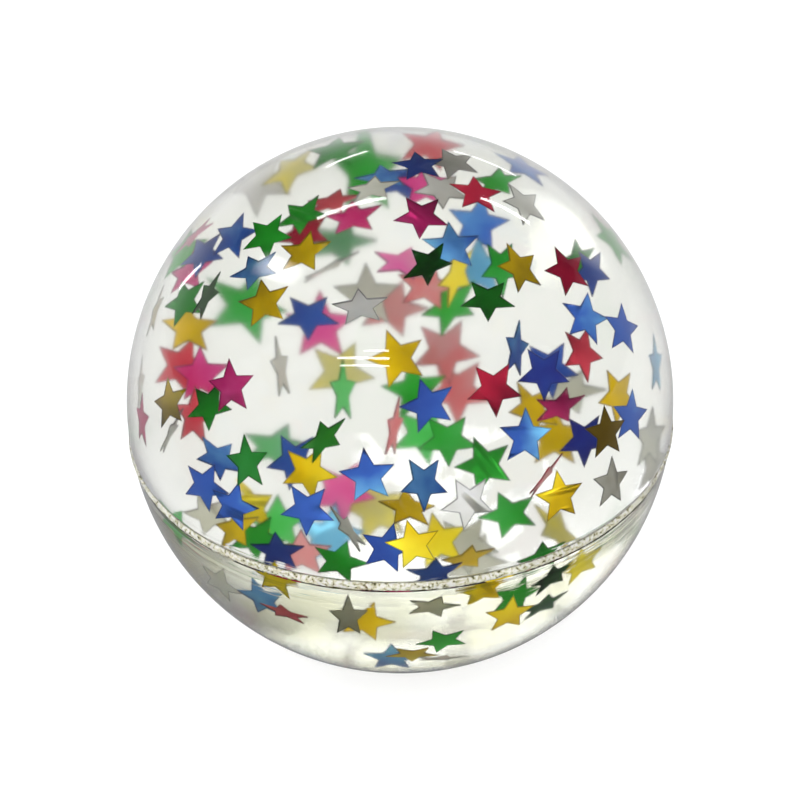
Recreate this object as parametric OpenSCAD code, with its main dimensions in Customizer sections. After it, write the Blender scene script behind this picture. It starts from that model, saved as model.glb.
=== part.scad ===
// Clear rubber bouncy ball with star confetti cast into it.
// Two rubber halves meet at the seam, a trimmed seam band runs round the joint,
// and every star is a piece of thin coloured film in its own pocket in the rubber.
// Millimetres, +Z up. The origin is the centre of the ball, and the seam lies in the XY plane.

/* [Ball] */
// Diameter of the ball
ball_dia = 45; // [42:0.5:60]
// Bending power of the clear rubber, which shifts where a star is seen
rubber_index = 1.5; // [1.4:0.01:1.6]

/* [Seam] */
// Width of the channel for the seam, from line to line
seam_width = 0.9; // [0.6:0.05:1.4]
// Width of the fine line along each side of the seam band
seam_line = 0.1; // [0.04:0.01:0.2]
// Depth of the seam band in the rubber
seam_depth = 0.7; // [0.4:0.05:1.2]
// Height of the seam band's rounded crown over its own edges
seam_crown = 0.12; // [0.05:0.01:0.25]

/* [Stars] */
// Diameter of the circle through the five points of a star
star_dia = 3.8; // [3:0.1:4.2]
// Diameter of the circle through the five notches between the points
star_notch_dia = 1.75; // [1.5:0.05:2]
// Thickness of the coloured film
film_thickness = 0.1; // [0.06:0.01:0.16]
// Radius of the tightest curl in a bent star
curl_radius = 2.6; // [2.4:0.1:6]
// Room left all round a star in its pocket
pocket_clearance = 0.02; // [0.01:0.005:0.03]
// Least rubber between a star and the joint of the two halves
joint_clearance = 0.15; // [0.1:0.05:0.3]

/* [Hidden] */

$fn = 96;
ball_r = ball_dia / 2;
star_r = star_dia / 2;
star_points = 5;
// Extra length of a cutting shape past the face that it cuts
overrun = 0.5;

// The eye that the stars were laid out for: above the seam, in front of the ball
eye_height = 34.5;
eye_distance_share = 4.2;
eye_roll = 1.6;
eye_forward = [0, cos(eye_height), -sin(eye_height)];
eye_level = [1, 0, 0];
eye_right = cos(eye_roll) * eye_level - sin(eye_roll) * cross(eye_level, eye_forward);
eye_up = cross(eye_right, eye_forward);
eye = -eye_forward * ball_r * eye_distance_share;
// Slope of the line of sight that grazes the ball's outline
outline_slope = tan(asin(1 / eye_distance_share));

// Stars by colour, as the eye sees them through the rubber. Each row gives
// across and up, as shares of the outline's radius, depth, as a share of the way through the ball,
// turn of a point, lean away from the eye and direction of the axis it leans about, in degrees,
// and curl, as a share of the tightest curl.
blue_star_shares = [
    [-0.61, 0.60, 0.16, 77, 18, 60, 0],
    [0.548, 0.115, 0.30, 60, 12, 0, 0],
    [-0.725, 0.535, 0.22, 50, 30, 20, 0],
    [-0.53, 0.475, 0.09, 190, 48, 20, 0.3],
    [-0.06, 0.815, 0.24, 30, 55, 10, 0],
    [-0.335, 0.306, 0.38, 54, 42, 0, 0],
    [0.102, -0.018, 0.16, 37, 26, 40, 0],
    [0.425, 0.185, 0.15, 80, 66, 84, 0],
    [0.527, 0.10, 0.12, 54, 10, 0, 0],
    [0.46, -0.135, 0.10, 88, 10, 90, 0.8],
    [0.675, -0.145, 0.17, 57, 20, 30, 0],
    [0.845, -0.06, 0.10, 86, 20, 90, 0],
    [0.935, 0.13, 0.40, 90, 70, 88, 0],
    [0.087, -0.305, 0.09, 54, 34, 95, 0],
    [-0.047, -0.543, 0.11, 76, 10, 0, 0],
    [-0.665, -0.215, 0.18, 121, 45, 150, 0],
    [-0.715, -0.315, 0.13, 60, 20, 0, 0],
    [-0.61, -0.39, 0.09, 72, 20, 0, 0.3],
    [-0.34, -0.40, 0.10, 50, 12, 0, 0],
    [-0.26, -0.50, 0.68, 80, 20, 0, 0],
    [-0.448, -0.555, 0.10, 92, 44, 0, 0],
    [-0.118, -0.28, 0.09, 98, 14, 0, 0.4],
    [0.125, -0.635, 0.15, 20, 55, 10, 0.4],
    [-0.505, -0.728, 0.22, 100, 38, 150, 0],
    [-0.03, -0.945, 0.28, 90, 40, 0, 0],
    [0.07, 0.86, 0.10, 99, 35, 5, 0],
    [0.005, 0.795, 0.42, 0, 55, 0, 0],
    [0.45, 0.85, 0.36, 150, 58, 148, 0],
    [0.285, 0.645, 0.42, 80, 20, 0, 0],
    [0.19, 0.56, 0.20, 168, 20, 10, 0.6],
    [0.285, 0.48, 0.60, 90, 25, 0, 0],
    [0.70, 0.472, 0.18, 54, 38, 60, 0],
    [0.68, 0.30, 0.13, 150, 20, 135, 0.4],
    [0.815, 0.26, 0.09, 84, 25, 85, 0],
    [-0.39, -0.22, 0.30, 120, 30, 60, 0]
];
green_star_shares = [
    [-0.487, 0.60, 0.08, 62, 10, 45, 0],
    [-0.795, 0.54, 0.35, 90, 30, 60, 0],
    [-0.707, 0.38, 0.09, 62, 66, 62, 0],
    [-0.79, 0.36, 0.20, 38, 30, 30, 0.3],
    [-0.70, -0.022, 0.12, 60, 32, 40, 0.4],
    [-0.56, 0.34, 0.72, 70, 12, 0, 0],
    [-0.36, 0.675, 0.20, 60, 45, 25, 0.3],
    [-0.227, 0.578, 0.78, 0, 60, 10, 0],
    [-0.125, 0.835, 0.66, 90, 25, 0, 0],
    [-0.24, 0.915, 0.35, 20, 40, 20, 0],
    [-0.21, 0.03, 0.48, 90, 66, 90, 0],
    [0.055, 0.035, 0.58, 100, 25, 0, 0],
    [0.085, -0.125, 0.58, 280, 25, 0, 0],
    [0.31, -0.238, 0.32, 40, 10, 0, 0.3],
    [0.175, -0.145, 0.40, 200, 30, 0, 0],
    [0.40, -0.417, 0.28, 42, 38, 5, 0],
    [-0.28, -0.143, 0.12, 42, 58, 45, 0],
    [-0.56, -0.23, 0.08, 95, 35, 92, 0],
    [-0.455, -0.17, 0.72, 0, 50, 5, 0],
    [-0.53, -0.505, 0.34, 60, 42, 20, 0],
    [-0.45, -0.45, 0.58, 90, 35, 0, 0],
    [-0.22, -0.592, 0.17, 0, 38, 170, 0],
    [0.515, -0.575, 0.20, 30, 58, 30, 0],
    [0.555, -0.65, 0.09, 35, 60, 35, 0],
    [0.525, -0.75, 0.20, 25, 65, 25, 0],
    [0.424, -0.717, 0.20, 80, 45, 30, 0],
    [0.157, -0.881, 0.10, 45, 45, 5, 0],
    [-0.825, -0.457, 0.28, 120, 50, 130, 0],
    [0.355, 0.80, 0.28, 90, 55, 30, 0],
    [0.775, 0.585, 0.40, 120, 62, 125, 0],
    [0.105, 0.495, 0.09, 135, 45, 40, 0.4],
    [0.185, 0.345, 0.55, 45, 45, 48, 0],
    [0.322, 0.368, 0.08, 54, 40, 5, 0],
    [0.37, 0.485, 0.26, 200, 45, 90, 0],
    [0.648, 0.505, 0.30, 100, 52, 60, 0]
];
gold_star_shares = [
    [-0.775, 0.262, 0.40, 19, 36, 163, 0],
    [-0.845, -0.012, 0.10, 100, 32, 60, 0],
    [-0.497, 0.355, 0.10, 30, 25, 20, 0.5],
    [-0.35, 0.54, 0.12, 12, 40, 25, 0.5],
    [-0.40, 0.845, 0.45, 60, 55, 40, 0],
    [-0.218, 0.098, 0.68, -8, 10, 0, 0],
    [-0.011, 0.152, 0.26, 38, 8, 0, 0],
    [0.565, -0.135, 0.45, 90, 15, 0, 0],
    [0.485, -0.035, 0.36, 120, 42, 120, 0],
    [0.755, -0.12, 0.07, 98, 15, 90, 0],
    [0.797, 0.015, 0.26, 50, 38, 90, 0],
    [0.585, -0.355, 0.08, 100, 12, 95, 0.3],
    [0.05, -0.53, 0.09, 176, 15, 0, 0.3],
    [0.14, -0.515, 0.36, 30, 20, 0, 0],
    [0.03, -0.395, 0.20, 20, 50, 165, 0.3],
    [0.575, -0.478, 0.50, 135, 62, 128, 0],
    [-0.335, -0.263, 0.16, 62, 12, 0, 0.3],
    [-0.54, -0.385, 0.25, 100, 45, 120, 0.9],
    [-0.603, -0.47, 0.22, 90, 50, 45, 0],
    [-0.085, -0.40, 0.72, 30, 20, 0, 0],
    [-0.457, -0.655, 0.09, 150, 45, 150, 0.5],
    [-0.125, -0.81, 0.25, 0, 35, 0, 0],
    [0.665, -0.60, 0.20, 40, 48, 35, 0],
    [0.303, -0.695, 0.16, 30, 50, 20, 0.4],
    [0.40, -0.786, 0.10, 90, 25, 10, 0.2],
    [0.045, -0.93, 0.14, 270, 60, 0, 0],
    [0.205, 0.455, 0.45, 45, 62, 70, 0],
    [0.437, 0.482, 0.10, 112, 40, 118, 0],
    [0.243, -0.58, 0.24, 90, 66, 20, 0]
];
magenta_star_shares = [
    [-0.775, 0.465, 0.26, 90, 40, 15, 0.3],
    [-0.755, 0.60, 0.25, 0, 74, 35, 0],
    [-0.73, 0.092, 0.36, 92, 22, 0, 0],
    [-0.62, 0.048, 0.08, 95, 20, 90, 0],
    [-0.945, -0.075, 0.16, 80, 64, 90, 0],
    [-0.172, 0.668, 0.30, 25, 52, 12, 0.3],
    [-0.29, 0.27, 0.68, 90, 10, 0, 0],
    [0.01, 0.50, 0.45, 0, 60, 175, 0],
    [0.585, -0.025, 0.20, 10, 55, 20, 0.5],
    [-0.215, -0.335, 0.68, 60, 15, 0, 0],
    [0.095, 0.785, 0.34, 90, 30, 0, 0],
    [0.077, 0.673, 0.08, 50, 22, 0, 0.3]
];
red_star_shares = [
    [-0.80, 0.125, 0.52, 140, 20, 0, 0],
    [-0.755, -0.06, 0.30, 85, 40, 90, 0],
    [-0.353, 0.61, 0.37, 45, 45, 30, 0],
    [-0.25, 0.725, 0.30, 10, 65, 15, 0],
    [-0.03, 0.335, 0.78, 0, 40, 0, 0],
    [0.165, 0.18, 0.66, 62, 15, 0, 0],
    [0.21, 0.035, 0.78, 270, 15, 0, 0],
    [0.345, 0.04, 0.10, 58, 10, 0, 0.6],
    [-0.022, -0.105, 0.42, 84, 76, 80, 0],
    [0.668, 0.172, 0.18, 66, 40, 105, 0.3],
    [0.53, -0.28, 0.11, 50, 84, 52, 0],
    [-0.36, -0.56, 0.36, 90, 38, 0, 0],
    [-0.42, -0.78, 0.12, 160, 70, 165, 0],
    [0.11, 0.935, 0.45, 0, 40, 0, 0],
    [0.28, 0.757, 0.12, 88, 35, 160, 0.3],
    [0.10, 0.415, 0.50, 150, 45, 0, 0],
    [0.612, 0.473, 0.08, 114, 18, 100, 0]
];
silver_star_shares = [
    [-0.895, 0.325, 0.20, 90, 75, 75, 0],
    [-0.95, 0.05, 0.32, 90, 80, 88, 0],
    [-0.84, -0.12, 0.22, 60, 82, 55, 0],
    [-0.10, 0.775, 0.12, 20, 55, 15, 0],
    [-0.525, 0.80, 0.48, 54, 20, 0, 0],
    [-0.26, 0.485, 0.50, 25, 85, 28, 0],
    [-0.145, 0.342, 0.08, 25, 48, 5, 0],
    [-0.12, 0.38, 0.66, 92, 20, 0, 0],
    [0.62, 0.03, 0.55, 0, 50, 10, 0],
    [0.915, -0.14, 0.28, 90, 50, 80, 0],
    [0.925, -0.235, 0.42, 80, 60, 75, 0],
    [0.775, -0.303, 0.10, 24, 30, 100, 0.3],
    [0.25, -0.375, 0.12, 50, 25, 60, 0.4],
    [0.24, -0.53, 0.50, 60, 20, 0, 0],
    [-0.70, -0.42, 0.25, 40, 40, 0, 0.4],
    [-0.19, -0.475, 0.13, 130, 75, 125, 0],
    [0.275, -0.595, 0.60, 0, 30, 0, 0],
    [-0.66, -0.67, 0.12, 60, 30, 140, 0],
    [-0.19, -0.795, 0.12, 90, 45, 80, 0],
    [0.12, -0.755, 0.12, 0, 62, 0, 0],
    [0.145, -0.945, 0.14, 0, 78, 175, 0],
    [0.195, 0.87, 0.14, 40, 30, 10, 0],
    [0.15, 0.77, 0.22, -20, 40, 160, 0],
    [0.453, 0.717, 0.12, 112, 38, 115, 0.3],
    [-0.438, 0.115, 0.42, 100, 74, 98, 0]
];

// Rings of stars behind the outline, where that eye can't see: how far back along its line of sight
// and how far out from it, as shares of the ball's radius, how many stars, and the first one's angle.
back_ring_shares = [
    [0.12, 0.85, 13, 21],
    [0.33, 0.74, 15, 6],
    [0.56, 0.60, 11, 24.5],
    [0.72, 0.53, 4, 45]
];
// Least lean of those stars, and how far their leans spread
back_lean = 30;
back_lean_spread = 50;
// One colour after another round the rings
star_colours = ["blue", "green", "gold", "magenta", "red", "silver"];
back_ring_stars = [
    for (ring = back_ring_shares, i = [0 : ring[2] - 1])
        let (angle = ring[3] + i * 360 / ring[2])
        [
            ball_r * (ring[0] * eye_forward
                + ring[1] * (cos(angle) * eye_right + sin(angle) * eye_up)),
            -eye_forward, angle * star_points, back_lean + angle % back_lean_spread, angle, 0
        ]
];

function unit(v) = v / norm(v);

// Direction from the eye to a place on its view of the ball
function sight(row) = unit(eye_forward + outline_slope * (row[0] * eye_right + row[1] * eye_up));

// Point where that line of sight enters the ball
function sight_entry(along) =
    let (reach = -eye * along)
    eye + along * (reach - sqrt(reach * reach - eye * eye + ball_r * ball_r));

// Direction of the line of sight after the rubber's surface has bent it
function bent_sight(along, outwards) =
    let (slant = -along * outwards)
    along / rubber_index + outwards
        * (slant / rubber_index - sqrt(1 - (1 - slant * slant) / (rubber_index * rubber_index)));

// A star is its place, the direction it faces, its turn, lean and axis of leaning, and its curl
function seen_star(row) =
    let (entry = sight_entry(sight(row)), inwards = bent_sight(sight(row), unit(entry)))
    [entry - 2 * row[2] * (entry * inwards) * inwards, -inwards, row[3], row[4], row[5], row[6]];

// Direction square to the film of a star
function film_normal(star) =
    let (across = unit(cross(eye_up, star[1])), up = cross(star[1], across))
    cos(star[3]) * star[1] + sin(star[3]) * (sin(star[4]) * across - cos(star[4]) * up);

// Each half is cast with its own stars, so a star that would reach across the joint
// slides along its line of sight until it is clear, and looks the same from the eye
function clear_of_joint(star) =
    let (
        tilt = film_normal(star).z,
        sag = star[5] * star_r * star_r / curl_radius,
        reach = star_r * sqrt(max(0, 1 - tilt * tilt)) + sag + film_thickness + joint_clearance,
        short = max(0, reach - abs(star[0].z)),
        lift = (star[0].z > 0 ? short : -short) / star[1].z
    )
    [star[0] + lift * star[1], star[1], star[2], star[3], star[4], star[5]];

function star_set(rows, colour) = concat(
    [for (row = rows) clear_of_joint(seen_star(row))],
    [for (i = [0 : len(back_ring_stars) - 1])
        if (star_colours[i % len(star_colours)] == colour) clear_of_joint(back_ring_stars[i])]
);

blue_set = star_set(blue_star_shares, "blue");
green_set = star_set(green_star_shares, "green");
gold_set = star_set(gold_star_shares, "gold");
magenta_set = star_set(magenta_star_shares, "magenta");
red_set = star_set(red_star_shares, "red");
silver_set = star_set(silver_star_shares, "silver");
all_stars = concat(blue_set, green_set, gold_set, magenta_set, red_set, silver_set);

// Growth of a star's outline that leaves the clearance along every edge
star_notch_r = star_notch_dia / 2;
edge_step = [star_r - star_notch_r * cos(180 / star_points), star_notch_r * sin(180 / star_points)];
edge_offset = star_r * edge_step.y / norm(edge_step);
pocket_growth = 1 + pocket_clearance / edge_offset;

module star_outline(growth) {
    polygon([for (i = [0 : 2 * star_points - 1])
        let (r = growth * (i % 2 == 0 ? star_r : star_notch_r), angle = i * 180 / star_points)
        [r * cos(angle), r * sin(angle)]]);
}

// Wall of a wide tube, lying on its side with its top at the star's middle
module curl_wall(bend_r, thickness) {
    translate([0, 0, -bend_r])
        rotate([90, 0, 0])
            difference() {
                cylinder(r = bend_r + thickness / 2, h = 2 * star_dia, center = true);
                cylinder(r = bend_r - thickness / 2, h = 2 * star_dia + overrun, center = true);
            }
}

module star_film(curl, growth, thickness) {
    if (curl == 0)
        linear_extrude(thickness, center = true) star_outline(growth);
    else
        intersection() {
            linear_extrude(star_dia, center = true) star_outline(growth);
            curl_wall(curl_radius / curl, thickness);
        }
}

module seat(star) {
    face = star[1];
    across = unit(cross(eye_up, face));
    up = cross(face, across);
    place = star[0];
    multmatrix([
        [across.x, up.x, face.x, place.x],
        [across.y, up.y, face.y, place.y],
        [across.z, up.z, face.z, place.z]
    ])
        rotate(star[4]) rotate([star[3], 0, 0]) rotate(star[2] - star[4]) children();
}

module stars(set, upper) {
    for (star = set)
        if ((star[0].z > 0) == upper)
            seat(star) star_film(star[5], 1, film_thickness);
}

module star_pockets(upper) {
    for (star = all_stars)
        if ((star[0].z > 0) == upper)
            seat(star) star_film(star[5], pocket_growth, film_thickness + 2 * pocket_clearance);
}

// Ring of space for the seam band
module seam_channel() {
    difference() {
        cylinder(r = ball_r + overrun, h = seam_width, center = true);
        cylinder(r = ball_r - seam_depth, h = seam_width + overrun, center = true);
    }
}

module half(upper) {
    difference() {
        sphere(r = ball_r);
        translate([0, 0, upper ? -ball_r : ball_r])
            cube([2 * ball_r + overrun, 2 * ball_r + overrun, 2 * ball_r], center = true);
        seam_channel();
        star_pockets(upper);
    }
}

module upper_half() { color("honeydew", 0.25) half(true); }

module lower_half() { color("ivory", 0.25) half(false); }

module seam_band() {
    band_edge = seam_width / 2 - seam_line;
    edge_r = sqrt(ball_r * ball_r - band_edge * band_edge);
    crown_r = (band_edge * band_edge + seam_crown * seam_crown) / (2 * seam_crown);
    crown_angle = asin(band_edge / crown_r);
    crown_steps = 6;
    color("beige", 0.6)
        rotate_extrude()
            polygon(concat(
                [[ball_r - seam_depth, -band_edge]],
                [for (i = [0 : crown_steps])
                    let (angle = crown_angle * (2 * i / crown_steps - 1))
                    [edge_r + seam_crown - crown_r + crown_r * cos(angle), crown_r * sin(angle)]],
                [[ball_r - seam_depth, band_edge]]
            ));
}

module blue_stars_upper() { color("royalblue") stars(blue_set, true); }

module blue_stars_lower() { color("royalblue") stars(blue_set, false); }

module green_stars_upper() { color("forestgreen") stars(green_set, true); }

module green_stars_lower() { color("forestgreen") stars(green_set, false); }

module gold_stars_upper() { color("goldenrod") stars(gold_set, true); }

module gold_stars_lower() { color("goldenrod") stars(gold_set, false); }

module magenta_stars_upper() { color("mediumvioletred") stars(magenta_set, true); }

module magenta_stars_lower() { color("mediumvioletred") stars(magenta_set, false); }

module red_stars_upper() { color("crimson") stars(red_set, true); }

module red_stars_lower() { color("crimson") stars(red_set, false); }

module silver_stars_upper() { color("silver") stars(silver_set, true); }

module silver_stars_lower() { color("silver") stars(silver_set, false); }

upper_half();
lower_half();
seam_band();
blue_stars_upper();
blue_stars_lower();
green_stars_upper();
green_stars_lower();
gold_stars_upper();
gold_stars_lower();
magenta_stars_upper();
magenta_stars_lower();
red_stars_upper();
red_stars_lower();
silver_stars_upper();
silver_stars_lower();
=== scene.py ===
"""Clear bouncy ball with film stars cast into it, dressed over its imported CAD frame."""

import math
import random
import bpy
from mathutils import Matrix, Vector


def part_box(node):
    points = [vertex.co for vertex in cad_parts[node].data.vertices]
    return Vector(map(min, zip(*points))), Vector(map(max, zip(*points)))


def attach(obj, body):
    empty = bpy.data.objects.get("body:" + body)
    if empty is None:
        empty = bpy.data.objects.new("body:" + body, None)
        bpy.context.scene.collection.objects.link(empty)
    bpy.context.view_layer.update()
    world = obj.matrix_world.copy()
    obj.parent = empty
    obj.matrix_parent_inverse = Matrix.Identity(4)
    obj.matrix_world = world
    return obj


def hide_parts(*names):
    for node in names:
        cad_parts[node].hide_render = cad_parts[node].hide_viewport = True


bl_info = {
    "name": "Clear Star Ball",
    "version": (1, 0, 0),
    "blender": (4, 5, 0),
    "location": "3D View > Sidebar > Star Ball",
    "description": "Models a clear rubber ball with film stars cast into it, and its white studio",
    "category": "Object",
}

import bpy
from mathutils import Matrix, Quaternion, Vector

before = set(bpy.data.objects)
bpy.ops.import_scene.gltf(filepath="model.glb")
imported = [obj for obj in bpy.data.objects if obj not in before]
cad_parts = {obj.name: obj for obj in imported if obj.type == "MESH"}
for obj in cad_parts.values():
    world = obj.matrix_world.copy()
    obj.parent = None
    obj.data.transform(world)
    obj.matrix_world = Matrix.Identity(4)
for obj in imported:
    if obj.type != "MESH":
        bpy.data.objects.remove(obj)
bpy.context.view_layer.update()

MM = 0.001
RUBBER_INDEX = 1.5
BALL_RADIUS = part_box("upper_half")[1][2]
SEAM_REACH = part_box("seam_band")[1][2]
SEAM_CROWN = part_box("seam_band")[1][0] - BALL_RADIUS
COLOURS = ("blue", "green", "gold", "magenta", "red", "silver")
HALVES = ("upper", "lower")

# Fineness of the modelled pieces
BODY_SEGMENTS = 192
BODY_RINGS = 96
BAND_SEGMENTS = 1800
BAND_CUTS = 11

# Thickness of the film, and how close points lie that share a row or are welded
FILM_THICKNESS = 0.1 * MM
ROW_GAP = 0.001 * MM
WELD_GAP = 0.002 * MM

# Scales of the noise textures, per metre
FLOW_STRETCH = (60, 60, 1700)
PATCH_SCALE = 170
WAVE_SCALE = 90
GRAIN_SCALE = 3600
CLOUD_SCALE = 520
BUCKLE_SCALE = 260

# Glow of the floor, what it gains for the camera, what the skin mirrors and what it loses far behind
FLOOR_GLOW = 0.39
FLOOR_CAMERA_GAIN = 0.27
FLOOR_MIRRORED = 0.62
FLOOR_FAR_LOSS = 0.3

# Distance from the skin to the strips that it mirrors, in metres
GLARE_DISTANCE = 0.5

# Seed of the tones that are drawn
TONE_SEED = 11

# Tones of stars, by colour. A row gives the place across and up at which the camera sees the star, as
# shares of the ball's outline, the tone from deep 0 to pale 1, partly the film's own and partly painted
# shade and reflection, how far the tone sweeps over the star as a painted highlight and shade, and the
# direction in which it brightens, in degrees from the right.
TONE_ROWS = {
    "blue": (
        (-0.61, 0.60, 0.48, 0.05, 90),
        (0.548, 0.115, 0.30, 0.05, 0),
        (-0.335, 0.306, 0.32, 0.10, 0),
        (0.527, 0.10, 0.06, 0.05, 90),
        (0.46, -0.135, 0.56, 0.34, 0),
        (0.675, -0.145, 0.02, 0.05, 0),
        (0.845, -0.06, 0.48, 0.12, 90),
        (0.935, 0.13, 0.84, 0.05, 0),
        (0.087, -0.305, 0.56, 0.05, 90),
        (-0.047, -0.543, 0.32, 0.05, 0),
        (-0.715, -0.315, 0.42, 0.15, 270),
        (-0.61, -0.39, 0.46, 0.05, 0),
        (-0.34, -0.40, 0.44, 0.05, 270),
        (-0.26, -0.50, 0.78, 0.06, 60),
        (-0.448, -0.555, 0.14, 0.10, 90),
        (-0.118, -0.28, 0.56, 0.30, 280),
        (0.125, -0.635, 0.32, 0.25, 120),
        (0.07, 0.86, 0.22, 0.08, 180),
        (0.005, 0.795, 0.40, 0.05, 0),
        (0.45, 0.85, 0.52, 0.10, 180),
        (0.285, 0.645, 0.56, 0.08, 90),
        (0.19, 0.56, 0.62, 0.20, 180),
        (0.285, 0.48, 0.74, 0.05, 0),
        (0.70, 0.472, 0.26, 0.08, 0),
        (0.68, 0.30, 0.52, 0.12, 20),
        (0.815, 0.26, 0.46, 0.05, 90),
        (-0.39, -0.22, 0.34, 0.05, 0),
    ),
    "green": (
        (-0.487, 0.60, 0.46, 0.20, 90),
        (-0.707, 0.38, 0.02, 0.08, 90),
        (-0.70, -0.022, 0.38, 0.36, 280),
        (-0.56, 0.34, 0.62, 0.10, 270),
        (-0.227, 0.578, 0.86, 0.06, 0),
        (-0.125, 0.835, 0.54, 0.05, 0),
        (-0.24, 0.915, 0.36, 0.10, 0),
        (-0.21, 0.03, 0.74, 0.05, 0),
        (0.055, 0.035, 0.58, 0.05, 0),
        (0.085, -0.125, 0.74, 0.05, 0),
        (0.31, -0.238, 0.34, 0.20, 310),
        (0.175, -0.145, 0.58, 0.05, 0),
        (-0.56, -0.23, 0.66, 0.06, 270),
        (-0.455, -0.17, 0.92, 0.04, 0),
        (-0.45, -0.45, 0.70, 0.05, 0),
        (0.555, -0.65, 0.02, 0.06, 0),
        (0.525, -0.75, 0.12, 0.06, 0),
        (0.157, -0.881, 0.56, 0.05, 0),
        (0.775, 0.585, 0.50, 0.10, 270),
        (0.105, 0.495, 0.02, 0.08, 90),
        (0.185, 0.345, 0.60, 0.05, 0),
        (0.322, 0.368, 0.20, 0.06, 90),
        (-0.28, -0.143, 0.40, 0.06, 90),
        (0.648, 0.505, 0.22, 0.05, 0),
    ),
    "gold": (
        (-0.775, 0.262, 0.42, 0.12, 180),
        (-0.845, -0.012, 0.30, 0.30, 80),
        (-0.497, 0.355, 0.38, 0.26, 320),
        (-0.35, 0.54, 0.48, 0.15, 0),
        (-0.40, 0.845, 0.92, 0.05, 0),
        (-0.218, 0.098, 0.98, 0.05, 0),
        (-0.011, 0.152, 0.36, 0.12, 180),
        (0.565, -0.135, 0.40, 0.10, 180),
        (0.755, -0.12, 0.0, 0.05, 90),
        (0.585, -0.355, 0.46, 0.34, 140),
        (0.05, -0.53, 0.70, 0.14, 240),
        (0.14, -0.515, 0.76, 0.05, 0),
        (0.575, -0.478, 0.90, 0.05, 0),
        (-0.335, -0.263, 0.52, 0.18, 0),
        (-0.54, -0.385, 0.76, 0.05, 90),
        (-0.085, -0.40, 0.92, 0.05, 0),
        (-0.457, -0.655, 0.70, 0.08, 90),
        (0.665, -0.60, 0.80, 0.04, 0),
        (0.205, 0.455, 0.74, 0.05, 0),
        (0.437, 0.482, 0.26, 0.18, 140),
        (0.40, -0.786, 0.60, 0.10, 90),
    ),
    "magenta": (
        (-0.73, 0.092, 0.60, 0.08, 90),
        (-0.62, 0.048, 0.55, 0.05, 270),
        (-0.172, 0.668, 0.50, 0.15, 250),
        (-0.29, 0.27, 0.70, 0.08, 0),
        (0.01, 0.50, 0.86, 0.05, 0),
        (-0.215, -0.335, 0.78, 0.05, 0),
        (0.095, 0.785, 0.66, 0.05, 0),
        (0.077, 0.673, 0.42, 0.34, 235),
        (-0.775, 0.465, 0.66, 0.08, 0),
    ),
    "red": (
        (-0.80, 0.125, 0.70, 0.06, 90),
        (-0.755, -0.06, 0.78, 0.05, 270),
        (-0.03, 0.335, 1.0, 0.0, 0),
        (0.165, 0.18, 0.96, 0.05, 90),
        (0.21, 0.035, 0.86, 0.05, 0),
        (0.345, 0.04, 0.26, 0.32, 140),
        (-0.022, -0.105, 0.84, 0.05, 0),
        (0.668, 0.172, 0.72, 0.10, 0),
        (-0.36, -0.56, 0.94, 0.05, 0),
        (0.11, 0.935, 0.84, 0.05, 0),
        (0.28, 0.757, 0.48, 0.15, 180),
        (0.10, 0.415, 0.94, 0.05, 0),
        (0.612, 0.473, 0.12, 0.08, 0),
    ),
    "silver": (
        (-0.84, -0.12, 0.10, 0.05, 0),
        (-0.66, -0.67, 1.0, 0.0, 0),
        (0.775, -0.303, 0.16, 0.12, 180),
        (0.25, -0.375, 0.74, 0.12, 90),
        (-0.145, 0.342, 0.84, 0.08, 90),
    ),
}


def linear(red, green, blue):
    """Scene colour of a screen colour given from 0 to 255."""
    out = []
    for value in (red, green, blue):
        share = value / 255
        out.append(share / 12.92 if share <= 0.04045 else ((share + 0.055) / 1.055) ** 2.4)
    return tuple(out)


# Deep, bright and pale tone of each film; its middle tone is a setting. The deep end also serves as
# painted shade, and the bright and pale ends as painted highlight and reflection.
FILM_TONES = {
    "blue": (linear(34, 40, 112), linear(120, 196, 234), linear(160, 188, 220)),
    "green": (linear(22, 66, 22), linear(82, 196, 96), linear(146, 196, 166)),
    "gold": (linear(92, 74, 12), linear(250, 230, 52), linear(206, 198, 128)),
    "magenta": (linear(96, 18, 50), linear(240, 104, 168), linear(226, 156, 180)),
    "red": (linear(110, 14, 38), linear(230, 80, 90), linear(214, 150, 152)),
    "silver": (linear(126, 122, 102), linear(236, 236, 230), linear(254, 254, 252)),
}


def colour_setting(name, description, default):
    """Property for one colour."""
    return bpy.props.FloatVectorProperty(
        name=name,
        description=description,
        subtype="COLOR",
        size=3,
        min=0,
        max=1,
        default=default,
    )


def length_setting(name, description, default):
    """Property for one length."""
    return bpy.props.FloatProperty(
        name=name,
        description=description,
        default=default,
        min=0,
        unit="LENGTH",
    )


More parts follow.
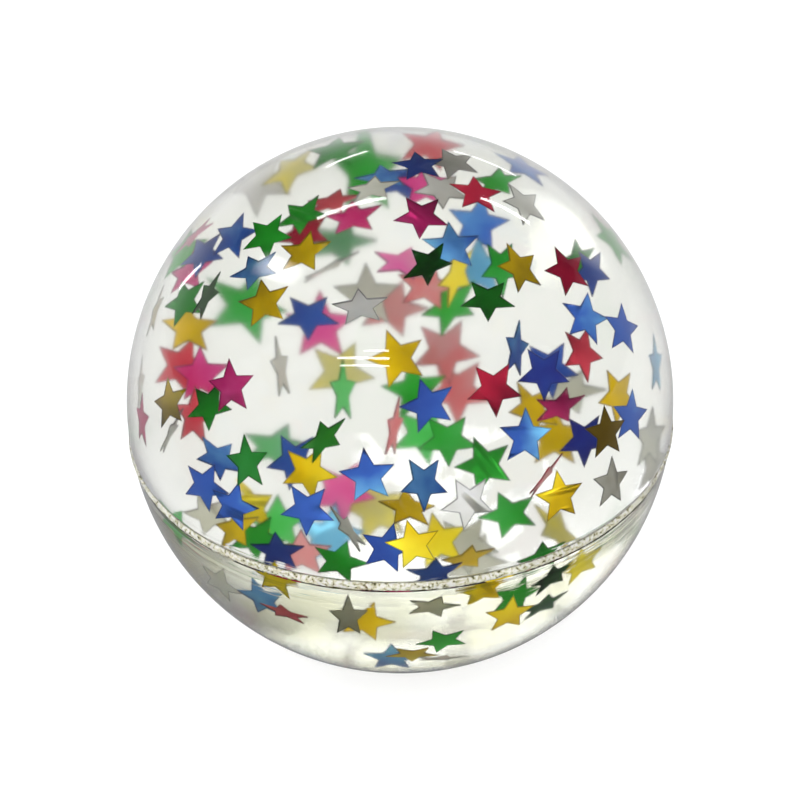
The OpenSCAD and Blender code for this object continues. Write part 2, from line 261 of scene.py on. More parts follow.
class BallSettings(bpy.types.PropertyGroup):
    """Sizes and finish of the rubber."""

    radius: length_setting("Radius", "Radius of the rubber ball", BALL_RADIUS)
    seam_reach: length_setting("Seam Reach", "Half width of the seam band", SEAM_REACH)
    seam_crown: length_setting("Seam Crown", "Height of the seam band over the ball", SEAM_CROWN)
    seam_line: length_setting("Seam Line", "Width of the line on each side of the band", 0.14 * MM)
    seam_depth: length_setting("Seam Depth", "Depth of the channel that the band lies in", 0.3 * MM)
    seam_grain: length_setting("Seam Grain", "Height of the grains on the seam band", 0.09 * MM)
    upper_tint: colour_setting("Upper Tint", "Tint of the upper half", (0.96, 0.965, 1.0))
    lower_tint: colour_setting("Lower Tint", "Tint of the lower half", (0.80, 0.815, 0.69))
    # Painted warm shade in cloudy patches below the seam, on the camera's side
    painted_warm_shade: colour_setting("Painted Warm Shade", "Tint of the warm patches below the seam", (0.72, 0.72, 0.45))
    # Painted shade: the tint of the rubber's rim where it is seen edge on
    painted_rim_shade: colour_setting("Painted Rim Shade", "Tint of the rubber where it is seen edge on", (0.6, 0.6, 0.52))
    flow_tint: colour_setting("Flow Tint", "Tint of the flow lines by the seam", (0.05, 0.047, 0.03))
    upper_line: colour_setting("Upper Line", "Tint of the line above the band", (0.04, 0.04, 0.025))
    lower_line: colour_setting("Lower Line", "Tint of the line below the band", (0.42, 0.40, 0.28))
    haze: bpy.props.FloatProperty(
        name="Haze",
        description="How much the rubber blurs what lies deep in it",
        default=0.1,
        min=0,
        max=1,
        subtype="FACTOR",
    )


class FilmSettings(bpy.types.PropertyGroup):
    """Colours of the star film."""

    blue: colour_setting("Blue", "Middle tone of the blue film", linear(58, 98, 182))
    green: colour_setting("Green", "Middle tone of the green film", linear(42, 158, 44))
    gold: colour_setting("Gold", "Middle tone of the gold film", linear(226, 188, 14))
    magenta: colour_setting("Magenta", "Middle tone of the magenta film", linear(202, 42, 112))
    red: colour_setting("Red", "Middle tone of the red film", linear(184, 32, 58))
    silver: colour_setting("Silver", "Middle tone of the silver film", linear(206, 206, 194))
    # The dark line along the cut edge of a star is painted shade
    rim: length_setting("Cut Edge", "Width of the dark line along the cut edge of a star", 0.06 * MM)


class StudioSettings(bpy.types.PropertyGroup):
    """Camera and light."""

    height: bpy.props.FloatProperty(
        name="Camera Height",
        description="Angle of the camera above the seam",
        default=math.radians(34.5),
        subtype="ANGLE",
    )
    roll: bpy.props.FloatProperty(
        name="Camera Roll",
        description="Turn of the camera about its line of sight",
        default=math.radians(1.6),
        subtype="ANGLE",
    )
    distance: length_setting("Camera Distance", "From the middle of the ball", 4.2 * BALL_RADIUS)
    lens: bpy.props.FloatProperty(
        name="Lens",
        description="Focal length of the camera in millimetres",
        default=50.2,
        min=1,
    )


class Sight:
    """The camera's view of the ball, in shares of the ball's outline."""

    def __init__(self, scene):
        studio = scene.star_studio
        self.radius = scene.star_ball.radius
        self.back = Vector((0, -math.cos(studio.height), math.sin(studio.height)))
        level = (-self.back).to_track_quat("-Z", "Y")
        self.turn = level @ Quaternion((0, 0, 1), -studio.roll)
        self.right = self.turn @ Vector((1, 0, 0))
        self.up = self.turn @ Vector((0, 1, 0))
        self.eye = self.back * studio.distance
        self.slope = math.tan(math.asin(self.radius / studio.distance))

    def meets(self, across, up):
        """Direction of the line of sight at one place in the outline, and where it meets the skin."""
        along = (self.slope * (across * self.right + up * self.up) - self.back).normalized()
        reach = -self.eye.dot(along)
        chord = math.sqrt(reach * reach - self.eye.length_squared + self.radius * self.radius)
        return along, self.eye + along * (reach - chord)

    def mirrored(self, across, up, distance):
        """Point in the room that the skin mirrors to the camera at one place in the outline."""
        along, skin = self.meets(across, up)
        return skin + along.reflect(skin.normalized()) * distance

    def miss(self, across, up, point):
        """How far the line of sight, bent by the rubber, passes from a point in the ball."""
        along, skin = self.meets(across, up)
        outwards = skin.normalized()
        slant = -along.dot(outwards) / RUBBER_INDEX
        inner = math.sqrt(1 - 1 / RUBBER_INDEX ** 2 + slant * slant)
        inwards = along / RUBBER_INDEX + outwards * (slant - inner)
        return (point - skin).cross(inwards).length


def stand_alone(obj):
    """Makes one object the only selected and active one."""
    bpy.ops.object.select_all(action="DESELECT")
    obj.select_set(True)
    bpy.context.view_layer.objects.active = obj


def new_piece(name):
    """Names the object that an operator has just added, and its mesh."""
    obj = bpy.context.object
    obj.name = name
    obj.data.name = name
    return obj


def widen_ring(piece, height, share):
    """Scales the ring of points at one height, above and below the seam, about the ball's axis."""
    bpy.ops.object.mode_set(mode="EDIT")
    bpy.ops.mesh.select_mode(type="VERT")
    bpy.ops.mesh.select_all(action="DESELECT")
    bpy.ops.object.mode_set(mode="OBJECT")
    for vertex in piece.data.vertices:
        vertex.select = abs(abs(vertex.co.z) - height) < ROW_GAP
    bpy.ops.object.mode_set(mode="EDIT")
    bpy.ops.transform.resize(value=(share, share, 1), center_override=(0, 0, 0))
    bpy.ops.object.mode_set(mode="OBJECT")


def apply_modifier(piece, kind, **values):
    """Adds a modifier to the active piece, sets it and applies it."""
    bpy.ops.object.modifier_add(type=kind)
    modifier = piece.modifiers[-1]
    for key, value in values.items():
        setattr(modifier, key, value)
    bpy.ops.object.modifier_apply(modifier=modifier.name)


def fresh_material(name):
    """Material with an empty node tree and an output."""
    material = bpy.data.materials.new(name)
    material.use_nodes = True
    tree = material.node_tree
    tree.nodes.clear()
    return material, tree, tree.nodes.new("ShaderNodeOutputMaterial")


def put(tree, kind, values=None, **settings):
    """Adds a node, sets its properties and the plain values of its inputs."""
    node = tree.nodes.new(kind)
    for key, value in settings.items():
        setattr(node, key, value)
    for key, value in (values or {}).items():
        node.inputs[key].default_value = value
    return node


def join(tree, source, target):
    """Links an output socket to an input socket."""
    tree.links.new(source, target)


def maths(tree, operation, first, second=None, third=None):
    """Maths node fed by sockets or plain numbers; gives its output socket."""
    node = put(tree, "ShaderNodeMath", operation=operation)
    for index, value in enumerate((first, second, third)):
        if value is None:
            continue
        if isinstance(value, (int, float)):
            node.inputs[index].default_value = value
        else:
            join(tree, value, node.inputs[index])
    return node.outputs[0]


def ramped(tree, source, low, high):
    """Share from 0 to 1 of the way that a value has gone from low to high."""
    node = put(tree, "ShaderNodeMapRange", {"From Min": low, "From Max": high}, clamp=True)
    join(tree, source, node.inputs["Value"])
    return node.outputs["Result"]


def blended(tree, share, first, second, blend="MIX"):
    """Mix of two colours, each a socket or a plain colour."""
    node = put(tree, "ShaderNodeMix", data_type="RGBA", blend_type=blend)
    join(tree, share, node.inputs["Factor"])
    for key, colour in (("A", first), ("B", second)):
        if isinstance(colour, bpy.types.NodeSocket):
            join(tree, colour, node.inputs[key])
        else:
            node.inputs[key].default_value = (*colour, 1)
    return node.outputs["Result"]


def noise(tree, place, scale, detail=2, roughness=0.5):
    """Noise texture at a place; gives its value socket."""
    values = {"Scale": scale, "Detail": detail, "Roughness": roughness}
    node = put(tree, "ShaderNodeTexNoise", values)
    join(tree, place, node.inputs["Vector"])
    return node.outputs["Fac"]


def bumped(tree, height, strength, distance, under=None):
    """Normal that a height gives, on top of another normal."""
    node = put(tree, "ShaderNodeBump", {"Strength": strength, "Distance": distance})
    join(tree, height, node.inputs["Height"])
    if under:
        join(tree, under, node.inputs["Normal"])
    return node.outputs["Normal"]


def mirror_ray(tree, path):
    """1 for a ray that a surface has mirrored, 0 for one that has gone through it."""
    clear = maths(tree, "SUBTRACT", 1, path.outputs["Is Transmission Ray"])
    return maths(tree, "MULTIPLY", path.outputs["Is Glossy Ray"], clear)


def flow_lines(tree, place, parts, reach):
    """Share of fine lines that run along the seam, mostly below it and at the sides of the ball."""
    stretch = put(tree, "ShaderNodeMapping", {"Scale": FLOW_STRETCH})
    join(tree, place, stretch.inputs["Vector"])
    fibre = noise(tree, stretch.outputs["Vector"], 1, 3, 0.6)
    thin = ramped(tree, fibre, 0.48, 0.55)
    below = ramped(tree, parts.outputs["Z"], -10 * reach, -reach)
    above = ramped(tree, parts.outputs["Z"], 3 * reach, reach)
    side = ramped(tree, maths(tree, "ABSOLUTE", parts.outputs["X"]), 4 * MM, 18 * MM)
    strength = maths(tree, "MULTIPLY_ADD", side, 0.7, 0.3)
    near = maths(tree, "MULTIPLY", below, above)
    return maths(tree, "MULTIPLY", maths(tree, "MULTIPLY", thin, near), strength)


def painted_warm_patches(tree, place, parts, settings):
    """Share of the cloudy patches of painted warm shade below the seam, on the side that faces the camera.
    """
    reach = settings.seam_reach
    front = ramped(tree, parts.outputs["Y"], 0.1 * settings.radius, -0.4 * settings.radius)
    under = ramped(tree, parts.outputs["Z"], -reach, -4 * reach)
    cloud = ramped(tree, noise(tree, place, PATCH_SCALE), 0.38, 0.62)
    return maths(tree, "MULTIPLY", maths(tree, "MULTIPLY", front, under), cloud)


def rubber_material(settings):
    """Clear rubber, warmer below the seam, with patches of painted warm shade below the seam on the
    camera's side, painted shade at its rim and fine lines beside the seam.
    """
    material, tree, output = fresh_material("clear_rubber")
    place = put(tree, "ShaderNodeTexCoord").outputs["Object"]
    parts = put(tree, "ShaderNodeSeparateXYZ")
    join(tree, place, parts.inputs[0])
    reach = settings.seam_reach
    half = ramped(tree, parts.outputs["Z"], -reach, reach)
    tint = blended(tree, half, tuple(settings.lower_tint), tuple(settings.upper_tint))
    height = maths(tree, "ABSOLUTE", parts.outputs["Z"])
    line = ramped(tree, height, reach + settings.seam_line, reach)
    mark = blended(tree, half, tuple(settings.lower_line), tuple(settings.upper_line))
    # Painted shade: the rubber is tinted darker towards its rim, where its skin is seen edge on
    facing = put(tree, "ShaderNodeLayerWeight", {"Blend": 0.5}).outputs["Facing"]
    rim = ramped(tree, facing, 0.82, 1)
    # Painted warm shade in cloudy patches below the seam, on the side towards the camera
    patch = painted_warm_patches(tree, place, parts, settings)
    warm_shaded = blended(tree, patch, tint, tuple(settings.painted_warm_shade))
    clear = blended(tree, rim, warm_shaded, tuple(settings.painted_rim_shade))
    flow = flow_lines(tree, place, parts, reach)
    streaked = blended(tree, flow, clear, tuple(settings.flow_tint))
    colour = blended(tree, line, streaked, mark)
    ripple = bumped(tree, flow, 0.6, 0.04 * MM)
    wave = bumped(tree, noise(tree, place, WAVE_SCALE, 2, 0.4), 0.25, 0.02 * MM, ripple)
    shader = put(
        tree,
        "ShaderNodeBsdfPrincipled",
        {
            "Transmission Weight": 1,
            "IOR": RUBBER_INDEX,
            "Roughness": settings.haze,
            "Specular Tint": (0, 0, 0, 1),
            "Coat Weight": 1,
            "Coat Roughness": 0.02,
            "Coat IOR": RUBBER_INDEX,
        },
    )
    join(tree, colour, shader.inputs["Base Color"])
    join(tree, wave, shader.inputs["Normal"])
    join(tree, wave, shader.inputs["Coat Normal"])
    join(tree, shader.outputs[0], output.inputs["Surface"])
    return material


def seam_material():
    """Trimmed rubber, half clear and granular, with dark specks between pale grains."""
    material, tree, output = fresh_material("seam_rubber")
    place = put(tree, "ShaderNodeTexCoord").outputs["Object"]
    grain = noise(tree, place, GRAIN_SCALE, 2, 0.7)
    ramp = put(tree, "ShaderNodeValToRGB")
    stops = ramp.color_ramp.elements
    stops[0].position = 0.34
    stops[0].color = (*linear(64, 60, 34), 1)
    stops[1].position = 0.58
    stops[1].color = (1, 1, 1, 1)
    stops.new(0.43).color = (*linear(210, 206, 172), 1)
    stops.new(0.5).color = (*linear(240, 239, 222), 1)
    join(tree, grain, ramp.inputs["Fac"])
    normal = bumped(tree, grain, 0.8, 0.08 * MM)
    shader = put(
        tree,
        "ShaderNodeBsdfPrincipled",
        {"Transmission Weight": 0.65, "IOR": 1.25, "Roughness": 0.15},
    )
    join(tree, ramp.outputs["Color"], shader.inputs["Base Color"])
    join(tree, normal, shader.inputs["Normal"])
    join(tree, shader.outputs[0], output.inputs["Surface"])
    return material


def film_material(name, deep, middle, bright, pale):
    """Metallic film whose tone, partly its own and partly painted shade and reflection, changes from star
    to star and sweeps across each star as a painted highlight and shade, with painted shade along its cut
    edges.
    """
    material, tree, output = fresh_material(name)
    # The tone is partly the film's own and partly painted shade, highlight and reflection
    tone = put(tree, "ShaderNodeAttribute", attribute_name="tone").outputs["Fac"]
    rim = put(tree, "ShaderNodeAttribute", attribute_name="rim").outputs["Fac"]
    place = put(tree, "ShaderNodeTexCoord").outputs["Object"]
    cloud = noise(tree, place, CLOUD_SCALE)
    speck = maths(tree, "MULTIPLY_ADD", cloud, 0.36, -0.18)
    ramp = put(tree, "ShaderNodeValToRGB")
    stops = ramp.color_ramp.elements
    stops[0].position = 0
    stops[0].color = (*deep, 1)
    stops[1].position = 1
    stops[1].color = (*pale, 1)
    stops.new(0.5).color = (*middle, 1)
    stops.new(0.8).color = (*bright, 1)
    join(tree, maths(tree, "ADD", tone, speck), ramp.inputs["Fac"])
    # Painted shade: the band along the cut edge of each star is darkened
    colour = blended(tree, rim, ramp.outputs["Color"], (0.4, 0.4, 0.4), "MULTIPLY")
    rough = put(tree, "ShaderNodeMapRange", {"To Min": 0.24, "To Max": 0.42})
    join(tree, cloud, rough.inputs["Value"])
    buckle = bumped(tree, noise(tree, place, BUCKLE_SCALE, 1), 0.5, 0.3 * MM)
    shader = put(tree, "ShaderNodeBsdfPrincipled", {"Metallic": 0.5, "Specular IOR Level": 0.1})
    join(tree, colour, shader.inputs["Base Color"])
    join(tree, rough.outputs["Result"], shader.inputs["Roughness"])
    join(tree, buckle, shader.inputs["Normal"])
    join(tree, shader.outputs[0], output.inputs["Surface"])
    return material


def islands(mesh):
    """Lists of vertex numbers, one list for each separate star in the mesh."""
    parent = list(range(len(mesh.vertices)))

    def root(index):
        while parent[index] != index:
            parent[index] = parent[parent[index]]
            index = parent[index]
        return index

    for edge in mesh.edges:
        parent[root(edge.vertices[0])] = root(edge.vertices[1])
    groups = {}
    for index in range(len(parent)):
        groups.setdefault(root(index), []).append(index)
    return [groups[key] for key in sorted(groups)]


def middle_of(mesh, island):
    """Mean place of some vertices."""
    return sum((mesh.vertices[index].co for index in island), Vector()) / len(island)


def is_cut_edge(mesh, polygon):
    """True for a face on the narrow cut edge of the film."""
    short = 0
    for key in polygon.edge_keys:
        first, second = (mesh.vertices[index].co for index in key)
        if (first - second).length < 1.3 * FILM_THICKNESS:
            short += 1
    return short > 1


class STARBALL_OT_rubber_body(bpy.types.Operator):
    """Models the clear rubber body as one closed ball with a channel for its seam band"""

    bl_idname = "starball.rubber_body"
    bl_label = "Rubber Body"

    def execute(self, context):
        settings = context.scene.star_ball
        reach = settings.seam_reach
        line = settings.seam_line
        bpy.ops.object.select_all(action="DESELECT")
        bpy.ops.mesh.primitive_uv_sphere_add(
            segments=BODY_SEGMENTS,
            ring_count=BODY_RINGS,
            radius=settings.radius,
        )
        body = new_piece("clear_body")
        bpy.ops.object.mode_set(mode="EDIT")
        for height in (reach, reach + line, reach + 3 * line):
            for side in (1, -1):
                bpy.ops.mesh.select_all(action="SELECT")
                bpy.ops.mesh.bisect(plane_co=(0, 0, side * height), plane_no=(0, 0, 1))
        bpy.ops.object.mode_set(mode="OBJECT")
        for height in (0, reach):
            widen_ring(body, height, 1 - settings.seam_depth / settings.radius)
        stand_alone(body)
        bpy.ops.object.shade_smooth_by_angle(angle=math.radians(50))
        body.data.materials.append(rubber_material(settings))
        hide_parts("upper_half", "lower_half")
        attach(body, "root")
        return {"FINISHED"}


class STARBALL_OT_seam_band(bpy.types.Operator):
    """Models the trimmed, granular band that runs round the ball in the seam channel"""

    bl_idname = "starball.seam_band"
    bl_label = "Seam Band"

    def execute(self, context):
        settings = context.scene.star_ball
        reach = settings.seam_reach
        bpy.ops.object.select_all(action="DESELECT")
        bpy.ops.mesh.primitive_cylinder_add(
            vertices=BAND_SEGMENTS,
            radius=settings.radius,
            depth=2 * reach,
            end_fill_type="NOTHING",
        )
        band = new_piece("granular_band")
        self.cut_rows(band, reach)
        rows = {round(abs(vertex.co.z), 7) for vertex in band.data.vertices}
        for height in sorted(rows):
            rise = settings.seam_crown * (1 - (height / reach) ** 2)
            widen_ring(band, height, 1 + rise / settings.radius)
        stand_alone(band)
        grain = bpy.data.textures.new("seam_grain", "CLOUDS")
        grain.noise_scale = 0.2 * MM
        grain.noise_depth = 2
        apply_modifier(
            band,
            "DISPLACE",
            texture=grain,
            strength=settings.seam_grain,
            mid_level=0.6,
        )
        apply_modifier(band, "SOLIDIFY", thickness=settings.seam_depth + 0.05 * MM, offset=-1)
        bpy.ops.object.shade_smooth_by_angle(angle=math.radians(60))
        band.data.materials.append(seam_material())
        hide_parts("seam_band")
        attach(band, "root")
        return {"FINISHED"}

    def cut_rows(self, band, reach):
        """Cuts the open tube across into rows that can be crowned."""
        bpy.ops.object.mode_set(mode="EDIT")
        bpy.ops.mesh.select_mode(type="EDGE")
        bpy.ops.mesh.select_all(action="DESELECT")
        bpy.ops.object.mode_set(mode="OBJECT")
        for edge in band.data.edges:
            first, second = (band.data.vertices[index].co.z for index in edge.vertices)
            edge.select = abs(first - second) > reach
        bpy.ops.object.mode_set(mode="EDIT")
        bpy.ops.mesh.subdivide(number_cuts=BAND_CUTS)
        bpy.ops.object.mode_set(mode="OBJECT")


class STARBALL_OT_film_stars(bpy.types.Operator):
    """Models the film stars of every colour in both halves"""

    bl_idname = "starball.film_stars"
    bl_label = "Film Stars"

    def execute(self, context):
        settings = context.scene.star_film
        sight = Sight(context.scene)
        draw = random.Random(TONE_SEED)
        for colour in COLOURS:
            deep, bright, pale = FILM_TONES[colour]
            material = film_material(colour + "_film", deep, getattr(settings, colour), bright, pale)
            stars = []
            for half in HALVES:
                mesh = self.star_group(colour, half, material, settings.rim)
                stars += [(mesh, island) for island in islands(mesh)]
            self.tone_stars(stars, TONE_ROWS[colour], sight, draw)
        return {"FINISHED"}

    def star_group(self, colour, half, material, rim_width):
        """Models the stars of one colour in one half, with a rim of painted shade along every cut edge."""
        node = colour + "_stars_" + half
        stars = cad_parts[node].copy()
        stars.data = stars.data.copy()
        stars.name = colour + "_film_" + half
        stars.data.name = stars.name
        bpy.context.scene.collection.objects.link(stars)
        stand_alone(stars)
        bpy.ops.object.mode_set(mode="EDIT")
        bpy.ops.mesh.select_mode(type="FACE")
        bpy.ops.mesh.select_all(action="SELECT")
        bpy.ops.mesh.remove_doubles(threshold=WELD_GAP)
        bpy.ops.mesh.dissolve_limited(angle_limit=math.radians(0.5))
        bpy.ops.mesh.select_all(action="DESELECT")
        bpy.ops.object.mode_set(mode="OBJECT")
        mesh = stars.data
        for polygon in mesh.polygons:
            polygon.select = not is_cut_edge(mesh, polygon)
        bpy.ops.object.mode_set(mode="EDIT")
        bpy.ops.mesh.inset(thickness=rim_width, depth=0, use_even_offset=True)
        bpy.ops.object.mode_set(mode="OBJECT")
        # Faces of the band along the cut edge carry the painted shade
        rim = mesh.attributes.new("rim", "FLOAT", "FACE")
        for polygon in mesh.polygons:
            rim.data[polygon.index].value = 0 if polygon.select else 1
        mesh.attributes.new("tone", "FLOAT", "POINT")
        mesh.materials.clear()
        mesh.materials.append(material)
        for polygon in mesh.polygons:
            polygon.material_index = 0
        bpy.ops.object.shade_smooth_by_angle(angle=math.radians(35))
        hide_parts(node)
        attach(stars, "root")
        return mesh

    def tone_stars(self, stars, rows, sight, draw):
        """Gives each star its tone, partly its own and partly painted shade and reflection: from the row
        of a star that stands out, drawn for the others, with a painted highlight and shade sweeping across
        it.
        """
        middles = [middle_of(mesh, island) for mesh, island in stars]
        tones = []
        for middle in middles:
            tones.append((draw.uniform(0.3, 0.64), draw.uniform(0.04, 0.2), draw.uniform(0, 360)))
        for across, up, *tone in rows:
            misses = [sight.miss(across, up, middle) for middle in middles]
            tones[misses.index(min(misses))] = tone
        for (mesh, island), middle, (level, painted_sweep, angle) in zip(stars, middles, tones):
            # Painted highlight and shade: the tone sweeps brighter towards one side of the camera's view
            turn = math.radians(angle)
            painted_light_side = math.cos(turn) * sight.right + math.sin(turn) * sight.up
            reach = max((mesh.vertices[index].co - middle).length for index in island)
            tone = mesh.attributes["tone"]
            for index in island:
                share = (mesh.vertices[index].co - middle).dot(painted_light_side) / reach
                tone.data[index].value = level + painted_sweep * share


class STARBALL_OT_studio(bpy.types.Operator):
    """Sets up the white floor, the soft light and the camera"""

    bl_idname = "starball.studio"
    bl_label = "Studio"

    def execute(self, context):
        scene = context.scene
        sight = Sight(scene)
        self.floor(sight.radius)
        self.sky(scene)
        self.grey_cards(sight.radius)
        self.soft_boxes()
        self.glare_strips(sight)
        self.camera(scene, sight)
        scene.view_settings.view_transform = "Standard"
        return {"FINISHED"}

    def floor(self, radius):
        """Pale floor that keeps the ball's shadow, looks white to the camera and is clear from below."""
        bpy.ops.object.select_all(action="DESELECT")
        bpy.ops.mesh.primitive_plane_add(size=4, location=(0, 0, 0))
        floor = new_piece("floor")
        bpy.ops.object.mode_set(mode="EDIT")
        bpy.ops.mesh.select_all(action="SELECT")
        bpy.ops.transform.translate(value=(0, 0, -radius))
        bpy.ops.object.mode_set(mode="OBJECT")
        floor.data.materials.append(self.floor_material(radius))

    def floor_material(self, radius):
        """Paper with a glow that depends on how a ray comes to it, and nothing on its under side."""
        material, tree, output = fresh_material("white_floor")
        path = put(tree, "ShaderNodeLightPath")
        seen = blended(tree, path.outputs["Is Camera Ray"], (0.7, 0.7, 0.7), (0.4, 0.4, 0.4))
        mirror = mirror_ray(tree, path)
        paper = put(tree, "ShaderNodeBsdfDiffuse")
        join(tree, blended(tree, mirror, seen, (0.04, 0.04, 0.04)), paper.inputs["Color"])
        parts = put(tree, "ShaderNodeSeparateXYZ")
        join(tree, put(tree, "ShaderNodeTexCoord").outputs["Object"], parts.inputs[0])
        behind = ramped(tree, parts.outputs["Y"], -1.5 * radius, 2.5 * radius)
        mirrored = maths(tree, "MULTIPLY", behind, mirror)
        camera = path.outputs["Is Camera Ray"]
        direct = maths(tree, "MULTIPLY_ADD", camera, FLOOR_CAMERA_GAIN, FLOOR_GLOW)
        far = ramped(tree, parts.outputs["Y"], 1.6 * radius, 3 * radius)
        through = maths(tree, "MULTIPLY", far, path.outputs["Is Transmission Ray"])
        shaded = maths(tree, "MULTIPLY_ADD", through, -FLOOR_FAR_LOSS, direct)
        dimmed = maths(tree, "MULTIPLY_ADD", mirror, -FLOOR_GLOW, shaded)
        strength = maths(tree, "MULTIPLY_ADD", mirrored, FLOOR_MIRRORED, dimmed)
        glow = put(tree, "ShaderNodeEmission", {"Color": (1, 1, 1, 1)})
        join(tree, strength, glow.inputs["Strength"])
        both = put(tree, "ShaderNodeAddShader")
        join(tree, paper.outputs[0], both.inputs[0])
        join(tree, glow.outputs[0], both.inputs[1])
        clear = put(tree, "ShaderNodeBsdfTransparent")
        sided = put(tree, "ShaderNodeMixShader")
        join(tree, put(tree, "ShaderNodeNewGeometry").outputs["Backfacing"], sided.inputs[0])
        join(tree, both.outputs[0], sided.inputs[1])
        join(tree, clear.outputs[0], sided.inputs[2])
        join(tree, sided.outputs[0], output.inputs["Surface"])
        return material

    def sky(self, scene):
        """Soft dome, white near the floor and greyer above, that the camera sees as white."""
        world = bpy.data.worlds.new("studio_sky")
        world.use_nodes = True
        tree = world.node_tree
        tree.nodes.clear()
        output = tree.nodes.new("ShaderNodeOutputWorld")
        direction = put(tree, "ShaderNodeTexCoord").outputs["Generated"]
        parts = put(tree, "ShaderNodeSeparateXYZ")
        join(tree, direction, parts.inputs[0])
        dome = put(tree, "ShaderNodeValToRGB")
        steps = dome.color_ramp.elements
        steps[0].position = 0.28
        steps[0].color = (0.9, 0.9, 0.92, 1)
        steps[1].position = 1
        steps[1].color = (0.9, 0.9, 0.9, 1)
        for position, level in ((0.5, 0.75), (0.85, 0.7)):
            steps.new(position).color = (level, level, level * 1.02, 1)
        join(tree, parts.outputs["Z"], dome.inputs["Fac"])
        path = put(tree, "ShaderNodeLightPath")
        behind = ramped(tree, parts.outputs["Y"], 0.1, 0.7)
        low = ramped(tree, parts.outputs["Z"], 0.5, 0.1)
        bright = maths(tree, "MULTIPLY", behind, low)
        mirrored = blended(tree, bright, (0.06, 0.06, 0.065), (0.7, 0.7, 0.71))
        dimmed = blended(tree, mirror_ray(tree, path), dome.outputs["Color"], mirrored)
        seen = blended(tree, path.outputs["Is Camera Ray"], dimmed, (1, 1, 1))
        glow = put(tree, "ShaderNodeBackground")
        join(tree, seen, glow.inputs["Color"])
        join(tree, glow.outputs[0], output.inputs["Surface"])
        scene.world = world

    def grey_cards(self, radius):
        """Soft grey cards beside the ball, seen only through it, that shade the lower part of its rim."""
        # Name, azimuth from straight behind in degrees, distance and width in radii, and level
        cards = (
            ("right_card", 44, 3.2, 4.4, 0.1),
            ("left_card", -46, 3.4, 3.2, 0.95),
        )
        for name, azimuth, distance, width, level in cards:
            turn = math.radians(azimuth)
            bpy.ops.object.select_all(action="DESELECT")
            bpy.ops.mesh.primitive_plane_add(
                size=1,
                location=(distance * radius * math.sin(turn), distance * radius * math.cos(turn), 0),
                rotation=(math.radians(90), 0, -turn),
            )
            card = new_piece(name)
            bpy.ops.transform.resize(value=(width * radius, width * radius, 2.4 * radius))
            card.data.materials.append(self.card_material(name, level))
            card.visible_camera = False
            card.visible_diffuse = False
            card.visible_glossy = False
            card.visible_shadow = False

    def card_material(self, name, level):
        """Grey that fades to nothing at the edges of a card."""
        material, tree, output = fresh_material(name)
        place = put(tree, "ShaderNodeTexCoord").outputs["UV"]
        grey = put(tree, "ShaderNodeEmission", {"Color": (level, level * 0.98, level * 1.04, 1)})
        nothing = put(tree, "ShaderNodeBsdfTransparent")
        both = put(tree, "ShaderNodeMixShader")
        join(tree, self.fade(tree, place), both.inputs[0])
        join(tree, nothing.outputs[0], both.inputs[1])
        join(tree, grey.outputs[0], both.inputs[2])
        join(tree, both.outputs[0], output.inputs["Surface"])
        return material

    def fade(self, tree, place):
        """Share that falls from 1 in the middle of a square to 0 at its edges."""
        parts = put(tree, "ShaderNodeSeparateXYZ")
        join(tree, place, parts.inputs[0])
        shares = []
        for axis in ("X", "Y"):
            shares.append(maths(tree, "SINE", maths(tree, "MULTIPLY", parts.outputs[axis], math.pi)))
        return maths(tree, "MULTIPLY", *shares)

    def soft_boxes(self):
        """Large soft boxes that light the stars and leave no mirror image on the skin."""
        # Name, place, width and depth in metres, and level
        boxes = (
            ("key_box", (-0.10, -0.42, 0.60), 0.50, 0.40, 8),
            ("back_left_box", (-0.42, 0.30, 0.40), 0.34, 0.22, 2.6),
            ("right_box", (0.50, 0.10, 0.36), 0.30, 0.20, 2.0),
            ("low_box", (-0.36, -0.46, 0.04), 0.34, 0.16, 7),
        )
        for name, place, width, depth, level in boxes:
            place = Vector(place)
            bpy.ops.object.select_all(action="DESELECT")
            bpy.ops.mesh.primitive_plane_add(
                size=1,
                location=place,
                rotation=place.to_track_quat("Z", "Y").to_euler(),
            )
            box = new_piece(name)
            bpy.ops.transform.resize(value=(width, depth, 1), orient_type="LOCAL")
            material, tree, output = fresh_material(name)
            glow = put(tree, "ShaderNodeEmission", {"Color": (1, 1, 1, 1)})
            mirror = mirror_ray(tree, put(tree, "ShaderNodeLightPath"))
            join(tree, maths(tree, "MULTIPLY_ADD", mirror, -level, level), glow.inputs["Strength"])
            join(tree, glow.outputs[0], output.inputs["Surface"])
            material.cycles.emission_sampling = "NONE"
            box.data.materials.append(material)
            box.visible_camera = False
            box.visible_shadow = False

    def glare_strips(self, sight):
        """Narrow strips whose only use is the glints that they draw on the ball's skin."""
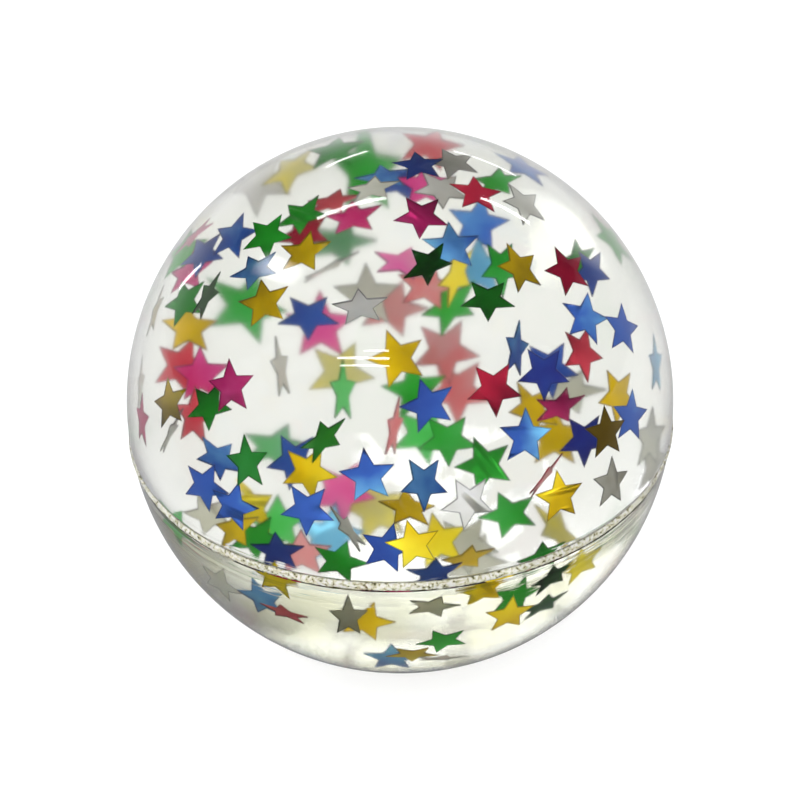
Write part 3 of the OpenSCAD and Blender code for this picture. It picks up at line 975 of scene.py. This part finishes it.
        # Name, where the glint starts and ends in shares of the outline, thickness, level, soft edges
        strips = (
            ("middle_glint_high", (-0.13, 0.180), (-0.04, 0.180), 0.005, 22, False),
            ("middle_glint", (-0.23, 0.153), (-0.04, 0.151), 0.008, 22, False),
            ("middle_glint_low", (-0.22, 0.126), (-0.04, 0.124), 0.005, 22, False),
            ("left_arc", (-0.303, 0.662), (-0.051, 0.739), 0.014, 14, False),
            ("left_arc_high", (-0.267, 0.852), (-0.121, 0.910), 0.008, 7, False),
            ("right_arc_high", (0.197, 0.910), (0.424, 0.819), 0.008, 4, False),
            ("right_arc", (0.296, 0.739), (0.472, 0.647), 0.012, 14, False),
            ("right_patch", (0.46, 0.78), (0.70, 0.48), 0.22, 2, True),
            ("left_patch", (-0.53, 0.505), (-0.36, 0.44), 0.08, 10, True),
            ("left_glint", (-0.808, 0.406), (-0.728, 0.494), 0.012, 8, False),
            ("low_patch", (-0.44, -0.87), (-0.22, -0.94), 0.06, 1.5, True),
        )
        for name, start, end, thickness, level, soft in strips:
            first = sight.mirrored(*start, GLARE_DISTANCE)
            last = sight.mirrored(*end, GLARE_DISTANCE)
            along = last - first
            depth = 2 * thickness * GLARE_DISTANCE
            lamp = self.lamp(name, (first + last) / 2, along, along.length, depth, level)
            lamp.visible_diffuse = False
            lamp.visible_transmission = False
            if soft:
                self.soften(lamp)

    def soften(self, lamp):
        """Makes a lamp fade from its middle to its edges."""
        lamp.data.use_nodes = True
        tree = lamp.data.node_tree
        place = put(tree, "ShaderNodeNewGeometry").outputs["Parametric"]
        join(tree, self.fade(tree, place), tree.nodes["Emission"].inputs["Strength"])

    def lamp(self, name, place, along, width, depth, level):
        """Adds a flat lamp that faces the ball, with its width along a direction."""
        facing = place.normalized()
        side = (along - along.dot(facing) * facing).normalized()
        turn = Matrix((side, facing.cross(side), facing)).transposed()
        bpy.ops.object.select_all(action="DESELECT")
        bpy.ops.object.light_add(type="AREA", location=place)
        lamp = bpy.context.object
        lamp.name = name
        lamp.rotation_mode = "QUATERNION"
        lamp.rotation_quaternion = turn.to_quaternion()
        lamp.data.shape = "RECTANGLE"
        lamp.data.size = width
        lamp.data.size_y = depth
        lamp.data.energy = level * math.pi * width * depth
        lamp.visible_camera = False
        return lamp

    def camera(self, scene, sight):
        """Camera at the photograph's angle and distance."""
        bpy.ops.object.select_all(action="DESELECT")
        bpy.ops.object.camera_add()
        camera = bpy.context.object
        camera.name = "photo_camera"
        camera.rotation_mode = "QUATERNION"
        camera.rotation_quaternion = sight.turn
        camera.location = sight.eye
        camera.data.lens = scene.star_studio.lens
        camera.data.sensor_width = 36
        camera.data.clip_start = 0.005
        camera.data.clip_end = 10
        scene.camera = camera


class STARBALL_PT_panel(bpy.types.Panel):
    """Lists the steps that build the ball and its studio"""

    bl_idname = "STARBALL_PT_panel"
    bl_label = "Star Ball"
    bl_space_type = "VIEW_3D"
    bl_region_type = "UI"
    bl_category = "Star Ball"

    def draw(self, context):
        column = self.layout.column()
        for operator in OPERATORS:
            column.operator(operator.bl_idname)
        for group in (context.scene.star_ball, context.scene.star_film, context.scene.star_studio):
            for key in group.__annotations__:
                column.prop(group, key)


OPERATORS = (
    STARBALL_OT_rubber_body,
    STARBALL_OT_seam_band,
    STARBALL_OT_film_stars,
    STARBALL_OT_studio,
)
CLASSES = (BallSettings, FilmSettings, StudioSettings, *OPERATORS, STARBALL_PT_panel)


def register():
    for item in CLASSES:
        bpy.utils.register_class(item)
    bpy.types.Scene.star_ball = bpy.props.PointerProperty(type=BallSettings)
    bpy.types.Scene.star_film = bpy.props.PointerProperty(type=FilmSettings)
    bpy.types.Scene.star_studio = bpy.props.PointerProperty(type=StudioSettings)


def unregister():
    del bpy.types.Scene.star_studio
    del bpy.types.Scene.star_film
    del bpy.types.Scene.star_ball
    for item in reversed(CLASSES):
        bpy.utils.unregister_class(item)


def main():
    register()
    bpy.ops.starball.rubber_body()
    bpy.ops.starball.seam_band()
    bpy.ops.starball.film_stars()
    bpy.ops.starball.studio()


if __name__ == "__main__":
    main()
